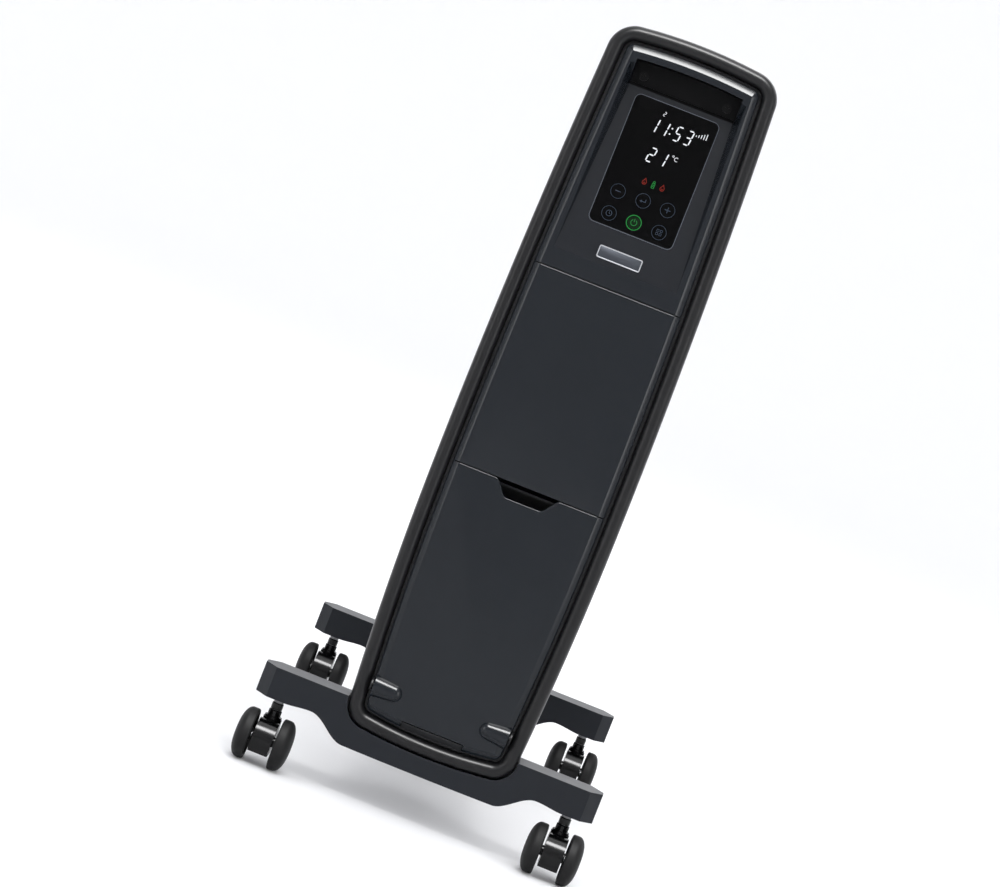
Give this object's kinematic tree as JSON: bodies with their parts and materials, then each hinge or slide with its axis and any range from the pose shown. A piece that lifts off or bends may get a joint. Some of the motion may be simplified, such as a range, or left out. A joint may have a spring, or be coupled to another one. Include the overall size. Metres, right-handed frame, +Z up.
{
  "type": "oil filled radiator heater",
  "caption": "Free-standing oil filled radiator heater with end housings, a touch control fascia, a cord storage door and twin-wheel castors.",
  "frame": {"origin": "on the floor, under the centre of the bounding box", "axes": "+Z up; the control panel faces -Y; +X is to the right of someone who faces the panel"},
  "size_m": [0.2862, 0.4185, 0.6397],
  "materials": {
    "bezel": "satin moulded plastic",
    "housing": "fine-grained moulded plastic",
    "panel": "semi-gloss dark blue-grey plastic",
    "touch_glass": "black back-printed glass",
    "display_led": "white light-guide block",
    "circuit_board": "green solder resist",
    "recess_plate": "fine-grained plastic",
    "black_screw": "blackened steel",
    "name_plate": "dark anodised, blank",
    "steel": "bright steel",
    "cord_bay": "moulded plastic",
    "gland": "moulded nylon",
    "relay": "blue relay case",
    "transformer": "varnished laminations and winding",
    "ceramic": "ceramic-filled plastic",
    "switch_case": "moulded plastic",
    "pendulum": "turned brass weight",
    "brass": "turned brass",
    "fin": "powder-coated pressed steel",
    "foot": "satin moulded plastic",
    "castor_body": "glossy black nylon",
    "castor_wheel": "matte nylon"
  },
  "bodies": {
    "heater": {"front_bezel": "bezel", "back_bezel": "bezel", "front_housing": "housing", "back_housing": "housing", "control_fascia": "panel", "middle_panel": "panel", "back_panel": "panel", "touch_glass": "touch_glass", "led_display": "display_led", "display_board": "circuit_board", "power_board": "circuit_board", "recess_plate": "recess_plate", "recess_screws": "black_screw", "name_plate": "name_plate", "hinge_pins": "steel", "front_end_plate": "steel", "back_end_plate": "steel", "heating_element": "steel", "foot_screws": "steel", "stem_front_left": "steel", "stem_front_right": "steel", "stem_back_left": "steel", "stem_back_right": "steel", "cord_bay": "cord_bay", "gland_plate": "cord_bay", "cord_gland": "gland", "relays": "relay", "transformer": "transformer", "terminal_block": "ceramic", "thermal_cutout": "ceramic", "tilt_switch_case": "switch_case", "element_plug": "brass", "oil_filler_plug": "brass", "fin_1": "fin", "fin_2": "fin", "fin_3": "fin", "fin_4": "fin", "fin_5": "fin", "fin_6": "fin", "fin_7": "fin", "fin_8": "fin", "top_header": "fin", "bottom_header": "fin", "front_foot": "foot", "back_foot": "foot"},
    "door": {"cord_door": "panel"},
    "pendulum": {"tilt_pendulum": "pendulum"},
    "castor_front_left": {"body_front_left": "castor_body"},
    "wheel_front_left_outer": {"outer_wheel_front_left": "castor_wheel"},
    "wheel_front_left_inner": {"inner_wheel_front_left": "castor_wheel"},
    "castor_front_right": {"body_front_right": "castor_body"},
    "wheel_front_right_outer": {"outer_wheel_front_right": "castor_wheel"},
    "wheel_front_right_inner": {"inner_wheel_front_right": "castor_wheel"},
    "castor_back_left": {"body_back_left": "castor_body"},
    "wheel_back_left_outer": {"outer_wheel_back_left": "castor_wheel"},
    "wheel_back_left_inner": {"inner_wheel_back_left": "castor_wheel"},
    "castor_back_right": {"body_back_right": "castor_body"},
    "wheel_back_right_outer": {"outer_wheel_back_right": "castor_wheel"},
    "wheel_back_right_inner": {"inner_wheel_back_right": "castor_wheel"}
  },
  "joints": [
    {"name": "door_hinge", "type": "hinge", "parent": "heater", "child": "door", "pos_m": [0, -0.18975, 0.092], "axis": [1, 0, 0], "range_deg": [0, 75]},
    {"name": "tilt_swing", "type": "hinge", "parent": "heater", "child": "pendulum", "pos_m": [0.026, -0.15275, 0.398], "axis": [0, 1, 0], "range_deg": [-28, 28]},
    {"name": "swivel_front_left", "type": "hinge", "parent": "heater", "child": "castor_front_left", "pos_m": [-0.1205, -0.17675, 0.04], "axis": [0, 0, 1], "continuous": true},
    {"name": "roll_front_left_outer", "type": "hinge", "parent": "castor_front_left", "child": "wheel_front_left_outer", "pos_m": [-0.1345, -0.18875, 0.0205], "axis": [1, 0, 0], "continuous": true},
    {"name": "roll_front_left_inner", "type": "hinge", "parent": "castor_front_left", "child": "wheel_front_left_inner", "pos_m": [-0.1065, -0.18875, 0.0205], "axis": [1, 0, 0], "continuous": true},
    {"name": "swivel_front_right", "type": "hinge", "parent": "heater", "child": "castor_front_right", "pos_m": [0.1205, -0.17675, 0.04], "axis": [0, 0, 1], "continuous": true},
    {"name": "roll_front_right_outer", "type": "hinge", "parent": "castor_front_right", "child": "wheel_front_right_outer", "pos_m": [0.1345, -0.18875, 0.0205], "axis": [1, 0, 0], "continuous": true},
    {"name": "roll_front_right_inner", "type": "hinge", "parent": "castor_front_right", "child": "wheel_front_right_inner", "pos_m": [0.1065, -0.18875, 0.0205], "axis": [1, 0, 0], "continuous": true},
    {"name": "swivel_back_left", "type": "hinge", "parent": "heater", "child": "castor_back_left", "pos_m": [-0.1205, 0.19325, 0.04], "axis": [0, 0, 1], "continuous": true},
    {"name": "roll_back_left_outer", "type": "hinge", "parent": "castor_back_left", "child": "wheel_back_left_outer", "pos_m": [-0.1345, 0.18125, 0.0205], "axis": [1, 0, 0], "continuous": true},
    {"name": "roll_back_left_inner", "type": "hinge", "parent": "castor_back_left", "child": "wheel_back_left_inner", "pos_m": [-0.1065, 0.18125, 0.0205], "axis": [1, 0, 0], "continuous": true},
    {"name": "swivel_back_right", "type": "hinge", "parent": "heater", "child": "castor_back_right", "pos_m": [0.1205, 0.19325, 0.04], "axis": [0, 0, 1], "continuous": true},
    {"name": "roll_back_right_outer", "type": "hinge", "parent": "castor_back_right", "child": "wheel_back_right_outer", "pos_m": [0.1345, 0.18125, 0.0205], "axis": [1, 0, 0], "continuous": true},
    {"name": "roll_back_right_inner", "type": "hinge", "parent": "castor_back_right", "child": "wheel_back_right_inner", "pos_m": [0.1065, 0.18125, 0.0205], "axis": [1, 0, 0], "continuous": true}
  ]
}
